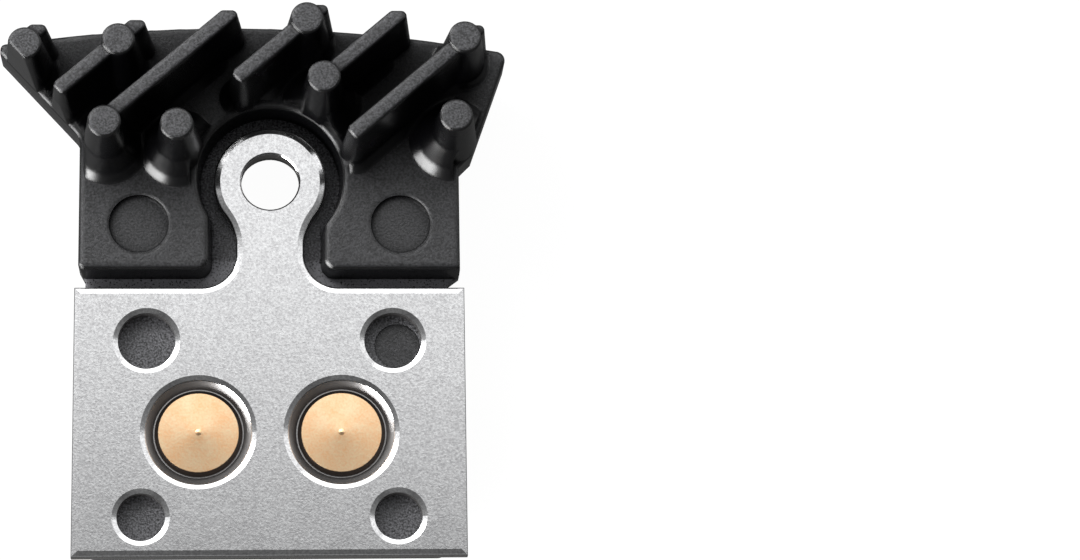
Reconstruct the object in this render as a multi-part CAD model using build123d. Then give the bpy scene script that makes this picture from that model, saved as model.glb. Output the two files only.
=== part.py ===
from build123d import *
import os
from math import radians, tan

# A finned disc brake pad, lying on its friction face. The origin is the centre of that face, +Z points to the
# piston side and +Y towards the cooling fin. In-plane places are measured from the centre of the backing plate, and
# on the cooling fin from the axle.

# Thicknesses and heights
friction_thickness = 1.5
carrier_thickness = 0.6
fin_base_thickness = 0.9
plate_thickness = 1.0
body_rise = 2.0
rib_height = 5.2
post_rise = 0.3
ridge_height = 1.4
nub_height = 1.5

# Friction block and its carrier
friction_width = 21.3
friction_length = 12.85
friction_crown = 1.2
friction_hollow = 0.3
friction_corner = 2.8
friction_bevel = 1.1
carrier_rim = 0.12

# Backing plate, with holes placed from its edges and the axle from its upper edge
plate_shift = 0.9
plate_width = 24.5
plate_length = 17.15
plate_rise = 0.325
plate_roll_width = 0.4
plate_roll_depth = 0.1
plate_edge_round = 0.15
plate_back_chamfer = 0.15
axle_reach = 6.9
axle_bore_radius = 1.825
axle_bore_roll = 0.1
ring_radius = 3.55
neck_width = 4.25
neck_foot_round = 2.2
neck_ring_round = 3.7
upper_hole_inset = 4.55
upper_hole_drop = 3.45
upper_hole_radius = 1.8
lower_hole_inset = 4.28
lower_hole_lift = 2.5
lower_hole_radius = 1.5
hole_roll_width = 0.3
hole_roll_depth = 0.12

# Rivets and their seats
rivet_x = 4.45
rivet_y = -0.4
rivet_shank_radius = 1.5
rivet_head_radius = 2.74
rivet_face_radius = 2.49
rivet_rim_height = 0.08
rivet_head_height = 0.42
rivet_crown = 0.09
rivet_nub_radius = 0.2
rivet_nub_height = 0.05
rivet_sink_radius = 2.1
rivet_clearance = 0.05
seat_depth = 0.65
seat_floor_radius = 2.82
seat_mouth_radius = 3.45
seat_roll_width = 0.18
seat_roll_depth = 0.07

# Cooling fin outline, from the axle
base_left = 11.6
base_right = 11.2
base_inset = 0.1
base_corner = 0.8
body_left = 11.98
body_right = 11.95
left_foot_y = -6.35
left_notch_y = -5.65
right_foot_y = -6.6
right_notch_y = -6.05
left_shoulder_y = 2.6
right_shoulder_y = 0.7
right_hip_x = 12.8
right_hip_y = 1.55
tip_left = 17.07
tip_left_low_y = 8.15
tip_left_high_y = 8.75
tip_right = 15.2
tip_right_y = 8.35
crest_x = -1.2
crest_y = 9.95
tip_left_round = 0.35
tip_right_round = 0.6
shoulder_round = 1.2
body_round = 0.3
base_round = 0.2
fin_bore_clearance = 0.15
ejector_offset_x = 0.3
ejector_offset_y = -0.15
ejector_radius = 1.43
ejector_depth = 0.08

# Pocket in the fin body, round the plate's ring and neck
pocket_front_y = -6.15
pocket_radius = 4.4
pocket_left = 3.65
pocket_right = 3.2
pocket_corner = 0.9
pocket_neck_round = 1.5
pocket_draft = 7.0
mark_x = 8.22
mark_y = -3.05
mark_radius = 1.88
mark_depth = 0.3

# Ribs and posts on the piston side. Each rib is its offset across and its start and end along the rib line, where
# the end is that of its left edge: the rib's upper end is cut along X. Each post is its place and its foot's rise.
rib_angle = 41.3
rib_width = 1.0
rib_corner = 0.33
rib_round = 0.22
rib_draft = 4.8
foot_rise = 0.5
foot_setback = 1.8
foot_margin = 0.1
ribs = [(15.56, -7.2, -5.6), (11.78, -7.13, -0.8), (8.53, -6.43, 3.92), (5.1, 1.67, 8.42), (1.58, 5.77, 11.87),
        (-2.32, 4.67, 14.92)]
posts = [(-15.15, 7.05, 0.35), (-9.4, 7.35, 0.35), (-10.2, 2.05, 1.0), (-5.75, 1.9, 1.0), (2.3, 8.8, 0.35),
         (3.35, 5.0, 1.0), (12.15, 7.6, 0.35), (11.55, 2.5, 1.2)]
post_radius = 1.03
post_draft = 5.5
post_chamfer = 0.12

# Ridges and nubs on the friction side
ridge_angle = 45.0
ridge_pitch = 4.0
ridge_first = 16.63
ridge_count = 7
ridge_width = 1.1
ridge_draft = 10.0
ridge_margin = 0.55
ridge_floor_y = -0.05
ridge_clear_radius = 4.6
corner_ridge_extra = 1.5
nub_x = 10.15
nub_y = -5.65
nub_size = 1.55
nub_corner = 0.2

# Edges of the backing plate and the axle between them
plate_top = plate_rise + plate_length / 2
plate_bottom = plate_rise - plate_length / 2
axle_y = plate_top + axle_reach

# Levels above the friction face
carrier_z = friction_thickness
fin_z = carrier_z + carrier_thickness
seat_z = fin_z + fin_base_thickness
plate_z = seat_z + plate_thickness
body_z = seat_z + body_rise
rib_z = body_z + rib_height
post_z = rib_z + post_rise
ledge_z = plate_z - seat_depth
sides = (-1, 1)
reach = 60.0


def at(x, y, z=0.0):
    """A place given from the centre of the backing plate."""
    return Pos(x, y + plate_shift, z)


def fin_at(x, y, z=0.0):
    """A place given from the axle."""
    return at(x, y + axle_y, z)


def rivet_places(z):
    return [at(side * rivet_x, rivet_y, z) for side in sides]


def nearest(shapes, point):
    return shapes.sort_by_distance(point)[0]


def friction_outline():
    """Crowned at the top and slightly hollow at the bottom, with rounded corners."""
    half = friction_width / 2
    low = -friction_length / 2
    high = friction_length / 2
    shoulder = high - friction_crown
    edges = [
        ThreePointArc((-half, low), (0, low + friction_hollow), (half, low)),
        Line((half, low), (half, shoulder)),
        ThreePointArc((half, shoulder), (0, high), (-half, shoulder)),
        Line((-half, shoulder), (-half, low)),
    ]
    face = make_face(edges)
    return fillet(face.vertices(), friction_corner)


def friction_block():
    block = extrude(friction_outline(), friction_thickness)
    front = -friction_length / 2
    wedge = Plane.YZ * make_face(Polyline(
        (front - friction_bevel, -friction_bevel), (front + friction_bevel, 0), (front, friction_bevel),
        (front - friction_bevel, friction_bevel), close=True))
    return block - extrude(wedge, reach, both=True)


def carrier_plate():
    plate = Pos(0, 0, carrier_z) * extrude(offset(friction_outline(), carrier_rim), carrier_thickness)
    sink = Cone(rivet_sink_radius + rivet_clearance, rivet_shank_radius + rivet_clearance, carrier_thickness)
    for place in rivet_places(carrier_z + carrier_thickness / 2):
        plate -= place * sink
    return plate


def rivet():
    """Turned rivet: countersunk foot in the carrier, shank, and a low crowned head with a small centre nub."""
    head_z = ledge_z - carrier_z
    crown_z = head_z + rivet_head_height + rivet_crown
    points = [
        (0, 0),
        (rivet_sink_radius, 0),
        (rivet_shank_radius, carrier_thickness),
        (rivet_shank_radius, head_z),
        (rivet_head_radius, head_z),
        (rivet_head_radius, head_z + rivet_rim_height),
        (rivet_face_radius, head_z + rivet_head_height),
        (rivet_nub_radius, crown_z),
        (0, crown_z + rivet_nub_height),
    ]
    profile = Plane.XZ * make_face(Polyline(*points, close=True))
    return revolve(profile, Axis.Z)


def plate_outline():
    """Rectangle with a waisted neck and a ring round the axle."""
    neck = Pos(0, (plate_top + axle_y) / 2) * Rectangle(neck_width, axle_y - plate_top)
    face = Pos(0, plate_rise) * Rectangle(plate_width, plate_length) + neck + Pos(0, axle_y) * Circle(ring_radius)
    half = neck_width / 2
    ring_meets = axle_y - (ring_radius ** 2 - half ** 2) ** 0.5
    for side in sides:
        face = fillet(nearest(face.vertices(), (side * half, plate_top)), neck_foot_round)
        face = fillet(nearest(face.vertices(), (side * half, ring_meets)), neck_ring_round)
    return face


def punch(radius, roll_width, roll_depth):
    """Cutter for a round hole through the plate, with the rim rolled in on the piston side."""
    roll = Cone(radius, radius + roll_width, roll_depth)
    return Cylinder(radius, reach) + Pos(0, 0, plate_z - roll_depth / 2) * roll


def hole_places():
    """The small holes, as the place and radius of each."""
    for side in sides:
        yield side * (plate_width / 2 - upper_hole_inset), plate_top - upper_hole_drop, upper_hole_radius
        yield side * (plate_width / 2 - lower_hole_inset), plate_bottom + lower_hole_lift, lower_hole_radius


def backing_plate():
    plate = at(0, 0, seat_z) * extrude(plate_outline(), plate_thickness)
    plate = chamfer(plate.edges().group_by(Axis.Z)[0], plate_back_chamfer)
    face = plate.faces().sort_by(Axis.Z)[-1]
    plate = chamfer(face.edges(), plate_roll_width, plate_roll_depth, reference=face)
    plate = fillet(plate.edges().filter_by_position(
        Axis.Z, plate_z - 1.5 * plate_roll_depth, plate_z - 0.5 * plate_roll_depth), plate_edge_round)
    for x, y, radius in hole_places():
        plate -= at(x, y) * punch(radius, hole_roll_width, hole_roll_depth)
    plate -= at(0, axle_y) * punch(axle_bore_radius, axle_bore_roll, axle_bore_roll)
    seat = Pos(0, 0, plate_z - seat_depth / 2) * Cone(seat_floor_radius, seat_mouth_radius, seat_depth)
    rim = Cone(seat_mouth_radius - seat_roll_width, seat_mouth_radius + seat_roll_width, 2 * seat_roll_depth)
    seat += Pos(0, 0, plate_z - seat_roll_depth) * rim
    for place in rivet_places(0):
        plate -= place * seat
        plate -= place * Cylinder(rivet_shank_radius + rivet_clearance, reach)
    return plate


def fin_outline():
    """Narrow base under the plate, wider shoulders and a swept, arched crest."""
    low = plate_bottom + base_inset - axle_y
    crest = ThreePointArc((tip_right, tip_right_y), (crest_x, crest_y), (-tip_left, tip_left_high_y))
    left = Polyline(
        (-tip_left, tip_left_high_y), (-tip_left, tip_left_low_y), (-body_left, left_shoulder_y),
        (-body_left, left_notch_y), (-base_left, left_foot_y), (-base_left, low))
    right = Polyline(
        (base_right, low), (base_right, right_foot_y), (body_right, right_notch_y), (body_right, right_shoulder_y),
        (right_hip_x, right_hip_y), (tip_right, tip_right_y))
    face = make_face([crest, left, Line((-base_left, low), (base_right, low)), right])
    rounds = [
        ((-tip_left, tip_left_high_y), tip_left_round), ((tip_right, tip_right_y), tip_right_round),
        ((-body_left, left_shoulder_y), shoulder_round), ((-base_left, low), base_corner),
        ((base_right, low), base_corner),
    ]
    for point, radius in rounds:
        face = fillet(nearest(face.vertices(), point), radius)
    return face


def pocket_outline():
    """All that lies in front of the fin body, with a bay round the plate's neck and ring."""
    front = Pos(0, pocket_front_y - reach / 2) * Rectangle(reach, reach)
    width = pocket_left + pocket_right
    neck = Pos((pocket_right - pocket_left) / 2, pocket_front_y / 2)
    bay = neck * Rectangle(width, -pocket_front_y) + Circle(pocket_radius)
    face = front + bay
    for x in (-pocket_left, pocket_right):
        meets = -(pocket_radius ** 2 - x ** 2) ** 0.5
        face = fillet(nearest(face.vertices(), (x, pocket_front_y)), pocket_corner)
        face = fillet(nearest(face.vertices(), (x, meets)), pocket_neck_round)
    return face


def drafted(top, height, draft, corner):
    """A block on z = 0 that tapers to the given top face, with its upright edges rounded."""
    foot = offset(fillet(top.vertices(), corner), height * tan(radians(draft)))
    return extrude(foot.face(), height, taper=draft)


def rib_plan(start, end):
    """Top of a rib along X, square at its start and cut on the skew at its end."""
    half = rib_width / 2
    skew = rib_width / tan(radians(rib_angle))
    return make_face(Polyline((start, -half), (end + skew, -half), (end, half), (start, half), close=True))


def rib(start, end):
    """A drafted rib with rounded top edges."""
    bar = drafted(rib_plan(start, end), rib_height, rib_draft, rib_corner)
    return fillet(bar.edges().group_by(Axis.Z)[-1], rib_round)


def rib_foot(start, end):
    """The sloping skirt at a rib's foot, which starts inside the body and closes inside the rib."""
    spread = rib_height * tan(radians(rib_draft))
    top = offset(rib_plan(start, end - foot_setback), spread - foot_rise, kind=Kind.INTERSECTION)
    return Pos(0, 0, -body_round) * drafted(top, 2 * foot_rise + body_round, 45, rib_corner)


def post_width(z):
    """Radius of a post at a height above the body."""
    return post_radius + (rib_height + post_rise - z) * tan(radians(post_draft))


def post():
    height = rib_height + post_rise
    profile = make_face(Polyline(
        (0, 0), (post_width(0), 0), (post_radius, height - post_chamfer), (post_radius - post_chamfer, height),
        (0, height), close=True))
    return revolve(Plane.XZ * profile, Axis.Z)


def post_foot(rise):
    """The flare at a post's foot, in two slopes, which starts inside the body and closes inside the post."""
    top = 2 * rise
    profile = make_face(Polyline(
        (0, -body_round), (post_width(0) + rise + body_round, -body_round), (post_width(0) + rise / 2, rise / 2),
        (post_width(top) - post_chamfer, top), (0, top), close=True))
    return revolve(Plane.XZ * profile, Axis.Z)


def joined(shapes):
    return shapes[0].fuse(*shapes[1:])


def standing():
    """The ribs and posts on the fin body, and their feet."""
    turn = fin_at(0, 0, body_z) * Rot(0, 0, rib_angle)
    bars = [turn * Pos(0, across) * rib(start, end) for across, start, end in ribs]
    long_ribs = [rib for rib in ribs if rib[2] - rib[1] > 2 * foot_setback]
    skirts = [turn * Pos(0, across) * rib_foot(start, end) for across, start, end in long_ribs]
    pins = [fin_at(x, y, body_z) * post() for x, y, rise in posts]
    flares = [fin_at(x, y, body_z) * post_foot(rise) for x, y, rise in posts]
    return joined(bars + pins), joined(skirts + flares)


def ridge_region():
    """Where the friction-side ridges may stand: inside the outline, above the eye and clear of it."""
    inner = offset(fin_outline(), -ridge_margin)
    above = Pos(0, ridge_floor_y + reach / 2) * Rectangle(2 * reach, reach)
    return (inner & above) - Circle(ridge_clear_radius)


def ridge_tops():
    """Evenly pitched slanting ridges, trimmed to their region, the last one widened into the corner."""
    bars = []
    for index in range(ridge_count):
        extra = corner_ridge_extra if index == ridge_count - 1 else 0
        across = ridge_first - index * ridge_pitch - extra / 2
        bars.append(Rot(0, 0, ridge_angle) * Pos(0, across) * Rectangle(2 * reach, ridge_width + extra))
    region = ridge_region()
    return [face for bar in bars for face in (bar & region).faces()]


def cooling_fin():
    outline = fin_outline()
    body = fin_at(0, 0, fin_z) * extrude(outline, body_z - fin_z)
    pocket = extrude(pocket_outline(), body_rise, taper=-pocket_draft)
    body -= fin_at(0, 0, seat_z) * pocket
    body = fillet(body.edges().group_by(Axis.Z)[-1], body_round)
    body = fillet(body.edges().group_by(Axis.Z)[0], base_round)
    rim = offset(pocket_outline(), body_rise * tan(radians(pocket_draft)))
    column = fin_at(0, 0, seat_z) * extrude(outline - rim, reach)
    inset = body_round + foot_margin
    inner = offset(outline, -inset) - offset(rim, inset)
    inner_column = fin_at(0, 0, seat_z) * extrude(inner, reach)
    uprights, feet = standing()
    body += uprights & column
    body += feet & inner_column
    for top in ridge_tops():
        spread = ridge_height * tan(radians(ridge_draft))
        foot = offset(top, spread)
        body += fin_at(0, 0, fin_z) * extrude(foot, -ridge_height, taper=ridge_draft)
    for side in sides:
        nub = drafted(Rectangle(nub_size, nub_size), nub_height, rib_draft, nub_corner)
        body += fin_at(side * nub_x, nub_y, fin_z) * Rot(180, 0, 0) * nub
        body -= fin_at(side * mark_x, mark_y, body_z) * Cylinder(mark_radius, 2 * mark_depth)
    ejector_x = plate_width / 2 - upper_hole_inset + ejector_offset_x
    ejector_y = plate_top - upper_hole_drop + ejector_offset_y
    body -= at(ejector_x, ejector_y, seat_z) * Cylinder(ejector_radius, 2 * ejector_depth)
    body -= fin_at(0, 0) * Cylinder(axle_bore_radius + fin_bore_clearance, reach)
    for place in rivet_places(0):
        body -= place * Cylinder(rivet_shank_radius + rivet_clearance, reach)
    return body


def rivets():
    return Compound(children=[place * rivet() for place in rivet_places(carrier_z)])


nodes = {
    "friction_block": friction_block,
    "carrier_plate": carrier_plate,
    "cooling_fin": cooling_fin,
    "backing_plate": backing_plate,
    "rivets": rivets,
}

os.makedirs("parts", exist_ok=True)
for name, make in nodes.items():
    export_step(make(), f"parts/{name}.step")
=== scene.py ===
import math

import bmesh
import bpy
from mathutils import Matrix, Vector

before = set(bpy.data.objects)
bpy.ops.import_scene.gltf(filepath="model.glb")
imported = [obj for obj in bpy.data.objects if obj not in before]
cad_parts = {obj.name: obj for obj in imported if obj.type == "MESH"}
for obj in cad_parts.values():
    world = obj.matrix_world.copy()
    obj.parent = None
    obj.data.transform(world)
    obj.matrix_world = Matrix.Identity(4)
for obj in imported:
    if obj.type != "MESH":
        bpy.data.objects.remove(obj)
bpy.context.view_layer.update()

MM = 0.001
scene = bpy.context.scene
scene.view_settings.view_transform = "Standard"

# Places on the part where a finish, or a painted light or shade, changes, in millimetres: where the change starts, and
# where it is complete.
PLATE_RIM_Z = (3.8, 3.87)  # from the dull walls of holes and rivet seats, whose darker colour is painted shade, to the tumbled face
RIB_TOP_Z = (9.9, 10.2)  # from the sides of ribs and posts to their tops
PLATE_EDGE_Y = (9.3, 9.8)  # from the floors of the plate's holes to the strip of fin past its upper edge, where the painted light grows
POCKET_Y = (10.8, 11.8)  # from that strip into the pocket round the eye, where painted shade takes over
FIN_SEAT_Z = 3.0  # the fin's base, on which the plate lies
RIVET_FACE_Z = 3.73  # the foot of the rivets' faces


def linear(code):
    """An sRGB hex colour as linear RGBA."""
    parts = [int(code[i:i + 2], 16) / 255 for i in (1, 3, 5)]
    return [c / 12.92 if c <= 0.04045 else ((c + 0.055) / 1.055) ** 2.4 for c in parts] + [1.0]


def per_mm(size):
    """The texture scale that gives features of this size in millimetres."""
    return 1 / (size * MM)


def add(tree, kind, inputs, **settings):
    """Adds a node with its settings, and fills its inputs with values or with links from other sockets."""
    made = tree.nodes.new(kind)
    for name, value in settings.items():
        setattr(made, name, value)
    for key, value in inputs.items():
        if isinstance(value, bpy.types.NodeSocket):
            tree.links.new(value, made.inputs[key])
        else:
            made.inputs[key].default_value = value
    return made


def new_finish(name):
    """An empty node material, and its tree."""
    finish = bpy.data.materials.new(name)
    finish.use_nodes = True
    finish.node_tree.nodes.clear()
    return finish, finish.node_tree


def coat(node_name, finish):
    """Puts a finish on a CAD piece, in place of what it came with."""
    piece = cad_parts[node_name]
    piece.data.materials.clear()
    piece.data.materials.append(finish)


def tumbled_stainless():
    """Stainless sheet, stamped and then tumbled.

    To the eye it is a bright satin mirror with a fine sparkle of small dents. The walls of the holes and rivet seats
    are not tumbled and stay duller; their darker colour is painted shade.
    """
    dent_size = 0.14  # mm; tumbling dents are finer, and are drawn this coarse so that they show
    patch_size = 2.5  # mm; patches that were tumbled a little more or less
    dent_depth = 0.03  # mm
    untumbled_roughness = 0.42
    finish, tree = new_finish("tumbled_stainless_steel")
    where = add(tree, "ShaderNodeTexCoord", {})
    place = where.outputs["Object"]
    height = add(tree, "ShaderNodeSeparateXYZ", {0: place})
    facing = add(tree, "ShaderNodeSeparateXYZ", {0: where.outputs["Normal"]})

    grain = add(
        tree, "ShaderNodeTexNoise",
        {"Vector": place, "Scale": per_mm(dent_size), "Detail": 3.0, "Roughness": 0.65})
    clouds = add(tree, "ShaderNodeTexNoise", {"Vector": place, "Scale": per_mm(patch_size), "Detail": 3.0})
    shade = add(tree, "ShaderNodeMapRange", {"Value": grain.outputs["Fac"], "From Min": 0.32, "From Max": 0.68})
    colour = add(
        tree, "ShaderNodeMix",
        {"Factor": shade.outputs["Result"], "A": linear("#bbbabb"), "B": linear("#eaeaea")}, data_type="RGBA")

    # The tumbled faces: the upper face with its rims, and the flat underside.
    reached = add(
        tree, "ShaderNodeMapRange",
        {"Value": height.outputs["Z"], "From Min": PLATE_RIM_Z[0] * MM, "From Max": PLATE_RIM_Z[1] * MM})
    under = add(tree, "ShaderNodeMapRange", {"Value": facing.outputs["Z"], "From Min": -0.6, "From Max": -0.9})
    open_face_not_wall_shade = add(
        tree, "ShaderNodeMath", {0: reached.outputs["Result"], 1: under.outputs["Result"]}, operation="MAXIMUM")
    # On the walls of holes and seats the colour is darkened to #9c9a99 as painted shade; the duller roughness there is
    # the untumbled steel.
    tumbled = add(
        tree, "ShaderNodeMix",
        {"Factor": open_face_not_wall_shade.outputs["Value"], "A": linear("#9c9a99"), "B": colour.outputs["Result"]},
        data_type="RGBA")
    rough = add(
        tree, "ShaderNodeMapRange",
        {"Value": clouds.outputs["Fac"], "From Min": 0.3, "From Max": 0.7, "To Min": 0.12, "To Max": 0.17})
    dull = add(
        tree, "ShaderNodeMix",
        {"Factor": open_face_not_wall_shade.outputs["Value"], "A": untumbled_roughness, "B": rough.outputs["Result"]})
    dents = add(
        tree, "ShaderNodeBump", {"Height": grain.outputs["Fac"], "Strength": 0.14, "Distance": dent_depth * MM})
    shader = add(
        tree, "ShaderNodeBsdfPrincipled",
        {"Base Color": tumbled.outputs["Result"], "Metallic": 1.0, "Roughness": dull.outputs["Result"],
         "Normal": dents.outputs["Normal"]})
    add(tree, "ShaderNodeOutputMaterial", {"Surface": shader.outputs["BSDF"]})
    return finish


def black_coated_casting():
    """Aluminium, die-cast, blasted and then coated black.

    To the eye it is a deep black with a satin gloss and the soft edges of a casting. Blasting and wear leave the level
    faces grey and grainy. Steep walls are smooth, and their near-black is partly the coat's own black and partly
    painted shade; the floors deep between the ribs are darkened as painted shade.
    """
    grain_size = 0.13  # mm; the blasted grain is finer, and is drawn this coarse so that it shows
    flow_size = 3.5  # mm; patches where the metal ran together in the mould
    grain_depth = 0.04  # mm
    edge_radius = 0.4  # mm
    rib_gap = 4.0  # mm; walls that are nearer than this shade one another
    seat_margin = 0.05  # mm; faces this near to the seat's height belong to it
    finish, tree = new_finish("black_coated_aluminium_casting")
    where = add(tree, "ShaderNodeTexCoord", {})
    place = where.outputs["Object"]
    spot = add(tree, "ShaderNodeSeparateXYZ", {0: place})
    facing = add(tree, "ShaderNodeSeparateXYZ", {0: where.outputs["Normal"]})
    grain = add(
        tree, "ShaderNodeTexNoise",
        {"Vector": place, "Scale": per_mm(grain_size), "Detail": 2.0, "Roughness": 0.6})
    flow = add(tree, "ShaderNodeTexNoise", {"Vector": place, "Scale": per_mm(flow_size), "Detail": 3.0})

    # How level a face is, on either side of the casting, and how open it is to the air. Both darken the colour as
    # painted shade: steep walls in part, and the floors deep between the ribs.
    level = add(tree, "ShaderNodeMath", {0: facing.outputs["Z"]}, operation="ABSOLUTE")
    flat = add(
        tree, "ShaderNodeMapRange",
        {"Value": level.outputs["Value"], "From Min": 0.75, "From Max": 0.97, "To Min": 0.03, "To Max": 1.0})
    # Ambient occlusion, used below to paint shade deep between the ribs and to lower their gloss.
    painted_shade_occlusion = add(
        tree, "ShaderNodeAmbientOcclusion", {"Distance": rib_gap * MM}, samples=6, only_local=True)

    # The grey of wear: most on the tops of ribs and posts, less on the other level and open faces. Steep walls stay
    # near black, partly the coat's own black and partly painted shade, and the floors deep between the ribs are
    # painted shade.
    rubbed = add(
        tree, "ShaderNodeMapRange",
        {"Value": spot.outputs["Z"], "From Min": RIB_TOP_Z[0] * MM, "From Max": RIB_TOP_Z[1] * MM,
         "To Min": 0.2, "To Max": 0.38})
    occlusion_shade = add(
        tree, "ShaderNodeMapRange",
        {"Value": painted_shade_occlusion.outputs["AO"], "From Min": 0.45, "From Max": 0.92, "To Min": 0.05, "To Max": 1.0})
    painted_shade_factor = add(
        tree, "ShaderNodeMath", {0: occlusion_shade.outputs["Result"], 1: flat.outputs["Result"]}, operation="MULTIPLY")

    # The seat under the plate is lightened as painted light: grey in the plate's holes, an even grey on the strip past
    # its upper edge, and painted shade turns it black again in the pocket.
    seat = add(
        tree, "ShaderNodeMath", {0: spot.outputs["Z"], 1: FIN_SEAT_Z * MM, 2: seat_margin * MM}, operation="COMPARE")
    pocket_painted_shade = add(
        tree, "ShaderNodeMapRange",
        {"Value": spot.outputs["Y"], "From Min": POCKET_Y[0] * MM, "From Max": POCKET_Y[1] * MM,
         "To Min": 0.9, "To Max": 0.1})
    strip_painted_light = add(
        tree, "ShaderNodeMapRange",
        {"Value": spot.outputs["Y"], "From Min": PLATE_EDGE_Y[0] * MM, "From Max": PLATE_EDGE_Y[1] * MM,
         "To Min": 0.85, "To Max": 6.0})
    seat_light_and_pocket_shade = add(
        tree, "ShaderNodeMath", {0: pocket_painted_shade.outputs["Result"], 1: strip_painted_light.outputs["Result"]},
        operation="MULTIPLY")
    seat_painted_light = add(
        tree, "ShaderNodeMath", {0: seat.outputs["Value"], 1: seat_light_and_pocket_shade.outputs["Value"]}, operation="MULTIPLY")

    wear_with_painted_light_and_shade = add(
        tree, "ShaderNodeMath",
        {0: rubbed.outputs["Result"], 1: painted_shade_factor.outputs["Value"], 2: seat_painted_light.outputs["Value"]}, operation="MULTIPLY_ADD")
    speck = add(tree, "ShaderNodeMapRange", {"Value": grain.outputs["Fac"], "From Min": 0.37, "From Max": 0.65})
    shade = add(
        tree, "ShaderNodeMath", {0: speck.outputs["Result"], 1: wear_with_painted_light_and_shade.outputs["Value"]}, operation="MULTIPLY")
    colour = add(
        tree, "ShaderNodeMix",
        {"Factor": shade.outputs["Value"], "A": linear("#050506"), "B": linear("#77777b")}, data_type="RGBA")

    # Steep walls are smoother and glossier than level faces, and in deep places the gloss is lowered as painted shade.
    blasted = add(tree, "ShaderNodeMapRange", {"Value": flat.outputs["Result"], "To Min": 0.19, "To Max": 0.36})
    rough = add(
        tree, "ShaderNodeMath", {0: flow.outputs["Fac"], 1: 0.12, 2: blasted.outputs["Result"]},
        operation="MULTIPLY_ADD")
    lacquer = add(tree, "ShaderNodeMapRange", {"Value": flat.outputs["Result"], "To Min": 0.75, "To Max": 0.6})
    shaded = add(
        tree, "ShaderNodeMapRange",
        {"Value": painted_shade_occlusion.outputs["AO"], "From Min": 0.5, "From Max": 0.95, "To Min": 0.15, "To Max": 1.0})
    gloss = add(
        tree, "ShaderNodeMath", {0: lacquer.outputs["Result"], 1: shaded.outputs["Result"]}, operation="MULTIPLY")

    soft = add(tree, "ShaderNodeBevel", {"Radius": edge_radius * MM}, samples=4)
    depth = add(
        tree, "ShaderNodeMath", {0: grain.outputs["Fac"], 1: flat.outputs["Result"]}, operation="MULTIPLY")
    skin = add(
        tree, "ShaderNodeBump",
        {"Height": depth.outputs["Value"], "Strength": 0.7, "Distance": grain_depth * MM,
         "Normal": soft.outputs["Normal"]})
    shader = add(
        tree, "ShaderNodeBsdfPrincipled",
        {"Base Color": colour.outputs["Result"], "Roughness": rough.outputs["Value"],
         "Specular IOR Level": gloss.outputs["Value"], "Normal": skin.outputs["Normal"]})
    add(tree, "ShaderNodeOutputMaterial", {"Surface": shader.outputs["BSDF"]})
    return finish


def copper_plating(name, light, dark, roughness, painted_shade_below):
    """Steel, thinly plated with copper.

    To the eye it is a pale pinkish gold, satin and slightly mottled. Below a height in millimetres the colour is
    painted shade, a dark brown for the rivet's side in the groove round its head.
    """
    mottle_size = 0.9  # mm; patches of thicker and thinner plating
    grain_size = 0.14  # mm; the plating's grain is finer, and is drawn this coarse so that it shows
    grain_depth = 0.02  # mm
    shade_fade_band = 0.03  # mm; the height over which the painted shade fades into the plating
    finish, tree = new_finish(name)
    place = add(tree, "ShaderNodeTexCoord", {}).outputs["Object"]
    mottle = add(tree, "ShaderNodeTexNoise", {"Vector": place, "Scale": per_mm(mottle_size), "Detail": 4.0})
    grain = add(tree, "ShaderNodeTexNoise", {"Vector": place, "Scale": per_mm(grain_size), "Detail": 2.0})
    mixed = add(tree, "ShaderNodeMath", {0: mottle.outputs["Fac"], 1: grain.outputs["Fac"]}, operation="ADD")
    shade = add(tree, "ShaderNodeMapRange", {"Value": mixed.outputs["Value"], "From Min": 0.75, "From Max": 1.25})
    colour = add(
        tree, "ShaderNodeMix",
        {"Factor": shade.outputs["Result"], "A": linear(dark), "B": linear(light)}, data_type="RGBA")
    height = add(tree, "ShaderNodeSeparateXYZ", {0: place})
    above_painted_shade = add(
        tree, "ShaderNodeMapRange",
        {"Value": height.outputs["Z"], "From Min": painted_shade_below * MM, "From Max": (painted_shade_below + shade_fade_band) * MM})
    # Below that height the colour is painted shade: dark brown for the rivet's side in the groove round its head.
    plated = add(
        tree, "ShaderNodeMix",
        {"Factor": above_painted_shade.outputs["Result"], "A": linear("#4d4540"), "B": colour.outputs["Result"]},
        data_type="RGBA")
    skin = add(
        tree, "ShaderNodeBump", {"Height": grain.outputs["Fac"], "Strength": 0.16, "Distance": grain_depth * MM})
    shader = add(
        tree, "ShaderNodeBsdfPrincipled",
        {"Base Color": plated.outputs["Result"], "Metallic": 1.0, "Roughness": roughness,
         "Normal": skin.outputs["Normal"]})
    add(tree, "ShaderNodeOutputMaterial", {"Surface": shader.outputs["BSDF"]})
    return finish


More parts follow.
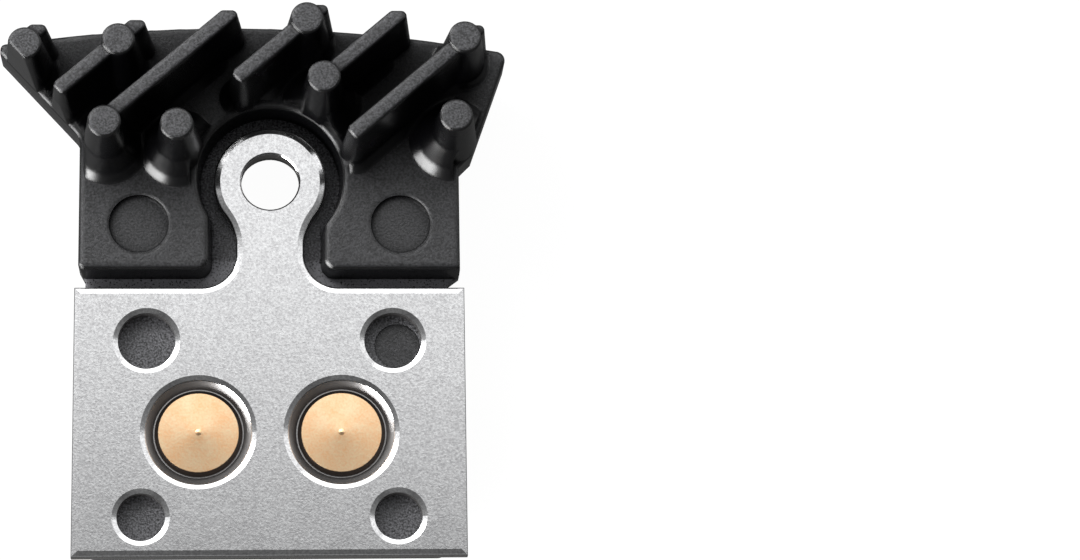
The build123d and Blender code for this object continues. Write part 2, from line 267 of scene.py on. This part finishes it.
def sintered_metal():
    """Copper and iron powder, sintered and ground flat.

    To the eye it is a matt tan of small grains, with dark pores and fine slanting lines from the grinding.
    """
    grain_size = 0.2  # mm
    pore_size = 0.34  # mm
    line_width = 0.2  # mm; grinding lines are finer, and are drawn this coarse so that they show
    line_slant = math.radians(-42)
    line_stretch = 0.13  # the pattern's scale along the lines, which makes them about eight times as long as wide
    relief_depth = 0.05  # mm
    finish, tree = new_finish("sintered_friction_metal")
    place = add(tree, "ShaderNodeTexCoord", {}).outputs["Object"]
    grains = add(tree, "ShaderNodeTexVoronoi", {"Vector": place, "Scale": per_mm(grain_size)})
    pores = add(
        tree, "ShaderNodeTexNoise",
        {"Vector": place, "Scale": per_mm(pore_size), "Detail": 3.0, "Roughness": 0.75})
    turned = add(tree, "ShaderNodeMapping", {"Vector": place, "Rotation": (0.0, 0.0, line_slant)})
    stretched = add(
        tree, "ShaderNodeMapping", {"Vector": turned.outputs["Vector"], "Scale": (line_stretch, 1.0, 1.0)})
    lines = add(
        tree, "ShaderNodeTexNoise",
        {"Vector": stretched.outputs["Vector"], "Scale": per_mm(line_width), "Detail": 2.0})
    tint = add(
        tree, "ShaderNodeMix",
        {"Factor": grains.outputs["Color"], "A": linear("#92765f"), "B": linear("#d8bba2")}, data_type="RGBA")
    streak = add(
        tree, "ShaderNodeMapRange",
        {"Value": lines.outputs["Fac"], "From Min": 0.45, "From Max": 0.75, "To Min": 0.0, "To Max": 0.6})
    ground = add(
        tree, "ShaderNodeMix",
        {"Factor": streak.outputs["Result"], "A": tint.outputs["Result"], "B": linear("#ecd8c2")}, data_type="RGBA")
    hole = add(tree, "ShaderNodeMapRange", {"Value": pores.outputs["Fac"], "From Min": 0.56, "From Max": 0.65})
    colour = add(
        tree, "ShaderNodeMix",
        {"Factor": hole.outputs["Result"], "A": ground.outputs["Result"], "B": linear("#35221a")}, data_type="RGBA")
    depth = add(
        tree, "ShaderNodeMath", {0: lines.outputs["Fac"], 1: hole.outputs["Result"]}, operation="SUBTRACT")
    relief = add(
        tree, "ShaderNodeBump", {"Height": depth.outputs["Value"], "Strength": 0.5, "Distance": relief_depth * MM})
    shader = add(
        tree, "ShaderNodeBsdfPrincipled",
        {"Base Color": colour.outputs["Result"], "Metallic": 0.35, "Roughness": 0.6,
         "Normal": relief.outputs["Normal"]})
    add(tree, "ShaderNodeOutputMaterial", {"Surface": shader.outputs["BSDF"]})
    return finish


def paper_floor():
    """Seamless studio paper that the camera sees as white.

    Mirrors see only a faint glow of it, because a white floor would light up the casting's steep walls.
    """
    seen_glow = 0.97
    mirrored_glow = 0.08
    finish, tree = new_finish("white_studio_paper")
    rays = add(tree, "ShaderNodeLightPath", {})
    mirrored = add(
        tree, "ShaderNodeMath", {0: rays.outputs["Is Glossy Ray"], 1: rays.outputs["Is Transmission Ray"]},
        operation="MAXIMUM")
    dimmed = add(tree, "ShaderNodeMath", {0: mirrored.outputs["Value"], 1: mirrored_glow}, operation="MULTIPLY")
    lift = add(
        tree, "ShaderNodeMath",
        {0: rays.outputs["Is Camera Ray"], 1: seen_glow, 2: dimmed.outputs["Value"]}, operation="MULTIPLY_ADD")
    paper = add(tree, "ShaderNodeBsdfDiffuse", {"Color": linear("#464646")})
    glow = add(tree, "ShaderNodeEmission", {"Strength": lift.outputs["Value"]})
    both = add(tree, "ShaderNodeAddShader", {0: paper.outputs["BSDF"], 1: glow.outputs["Emission"]})
    add(tree, "ShaderNodeOutputMaterial", {"Surface": both.outputs["Shader"]})
    return finish


def lay_floor():
    """A wide sheet of paper, just below the friction face so that the two don't share a plane."""
    half_width = 1.5  # metres
    gap = 0.02  # mm
    mesh = bpy.data.meshes.new("studio_floor")
    sheet = bmesh.new()
    bmesh.ops.create_grid(
        sheet, x_segments=1, y_segments=1, size=half_width, matrix=Matrix.Translation((0.0, 0.0, -gap * MM)))
    sheet.to_mesh(mesh)
    sheet.free()
    floor = bpy.data.objects.new("studio_floor", mesh)
    scene.collection.objects.link(floor)
    mesh.materials.append(paper_floor())


def hang_softbox(name, place, aim, size, level):
    """A soft lamp at a place in millimetres, turned to its aim, whose face has the given brightness."""
    lamp = bpy.data.lights.new(name, "AREA")
    lamp.shape = "RECTANGLE"
    lamp.size = size[0] * MM
    lamp.size_y = size[1] * MM
    lamp.energy = level * math.pi * lamp.size * lamp.size_y
    held = bpy.data.objects.new(name, lamp)
    scene.collection.objects.link(held)
    way = Vector(aim) - Vector(place)
    turn = way.to_track_quat("-Z", "Y").to_matrix().to_4x4()
    held.matrix_world = Matrix.Translation(Vector(place) * MM) @ turn


def set_camera():
    """Looks down on the pad from the friction block's end, with the pad on the left of the frame."""
    stand = Vector((0.0, -44.8, 219.2)) * MM
    pitch = Matrix.Rotation(math.radians(14.35), 4, "X")
    yaw = Matrix.Rotation(math.radians(-4.39), 4, "Y")
    lens = bpy.data.cameras.new("camera")
    lens.sensor_width = 36.0
    lens.lens = 117.2
    lens.clip_start = 0.01
    camera = bpy.data.objects.new("camera", lens)
    scene.collection.objects.link(camera)
    camera.matrix_world = Matrix.Translation(stand) @ pitch @ yaw
    scene.camera = camera


def set_world():
    """A dim studio with a bright panel above and behind the pad, and a fainter one raised in front of it.

    The steel mirrors both panels in full. Matte surfaces get a small share of their light, so that black stays black.
    """
    matte_share = 0.2
    world = bpy.data.worlds.new("studio")
    world.use_nodes = True
    tree = world.node_tree
    tree.nodes.clear()
    way = add(tree, "ShaderNodeSeparateXYZ", {0: add(tree, "ShaderNodeTexCoord", {}).outputs["Generated"]})

    # The room itself is darker towards the viewer.
    room = add(
        tree, "ShaderNodeMapRange",
        {"Value": way.outputs["Y"], "From Min": -0.6, "From Max": 0.12, "To Min": 0.04, "To Max": 0.32})

    # The panel behind starts with a soft edge and falls off again towards the horizon.
    panel = add(
        tree, "ShaderNodeMapRange",
        {"Value": way.outputs["Y"], "From Min": 0.155, "From Max": 0.25, "To Max": 1.08},
        interpolation_type="SMOOTHSTEP")
    fall = add(
        tree, "ShaderNodeMapRange",
        {"Value": way.outputs["Y"], "From Min": 0.55, "From Max": 0.8, "To Max": -0.9},
        interpolation_type="SMOOTHSTEP")

    # The panel in front stands clear of the horizon.
    front = add(
        tree, "ShaderNodeMapRange",
        {"Value": way.outputs["Y"], "From Min": -0.35, "From Max": -0.7, "To Max": 0.3},
        interpolation_type="SMOOTHSTEP")
    raised = add(
        tree, "ShaderNodeMapRange",
        {"Value": way.outputs["Z"], "From Min": 0.3, "From Max": 0.42}, interpolation_type="SMOOTHSTEP")

    screen = add(
        tree, "ShaderNodeMath",
        {0: front.outputs["Result"], 1: raised.outputs["Result"], 2: panel.outputs["Result"]},
        operation="MULTIPLY_ADD")
    band = add(tree, "ShaderNodeMath", {0: screen.outputs["Value"], 1: fall.outputs["Result"]}, operation="ADD")
    rays = add(tree, "ShaderNodeLightPath", {})
    share = add(
        tree, "ShaderNodeMapRange",
        {"Value": rays.outputs["Is Diffuse Ray"], "To Min": 1.0, "To Max": matte_share})
    level = add(
        tree, "ShaderNodeMath",
        {0: band.outputs["Value"], 1: share.outputs["Result"], 2: room.outputs["Result"]}, operation="MULTIPLY_ADD")
    sky = add(tree, "ShaderNodeBackground", {"Color": linear("#f6f7f8"), "Strength": level.outputs["Value"]})
    add(tree, "ShaderNodeOutputWorld", {"Surface": sky.outputs["Background"]})
    scene.world = world


rivet_plating = copper_plating(
    "copper_plated_rivet", light="#ffe0b6", dark="#fecb99", roughness=0.28, painted_shade_below=RIVET_FACE_Z)
carrier_plating = copper_plating(
    "copper_plated_carrier", light="#d9b392", dark="#c39a78", roughness=0.35, painted_shade_below=0.0)

coat("backing_plate", tumbled_stainless())
coat("cooling_fin", black_coated_casting())
coat("rivets", rivet_plating)
coat("carrier_plate", carrier_plating)
coat("friction_block", sintered_metal())

lay_floor()
set_camera()
set_world()
hang_softbox("softbox_behind", place=(-60.0, 400.0, 330.0), aim=(0.0, 8.0, 4.0), size=(620.0, 300.0), level=2.0)
hang_softbox("softbox_key", place=(-320.0, 330.0, 330.0), aim=(0.0, 12.0, 6.0), size=(220.0, 220.0), level=10.0)
hang_softbox("softbox_left", place=(-300.0, -170.0, 80.0), aim=(0.0, 12.0, 6.0), size=(340.0, 170.0), level=17.0)
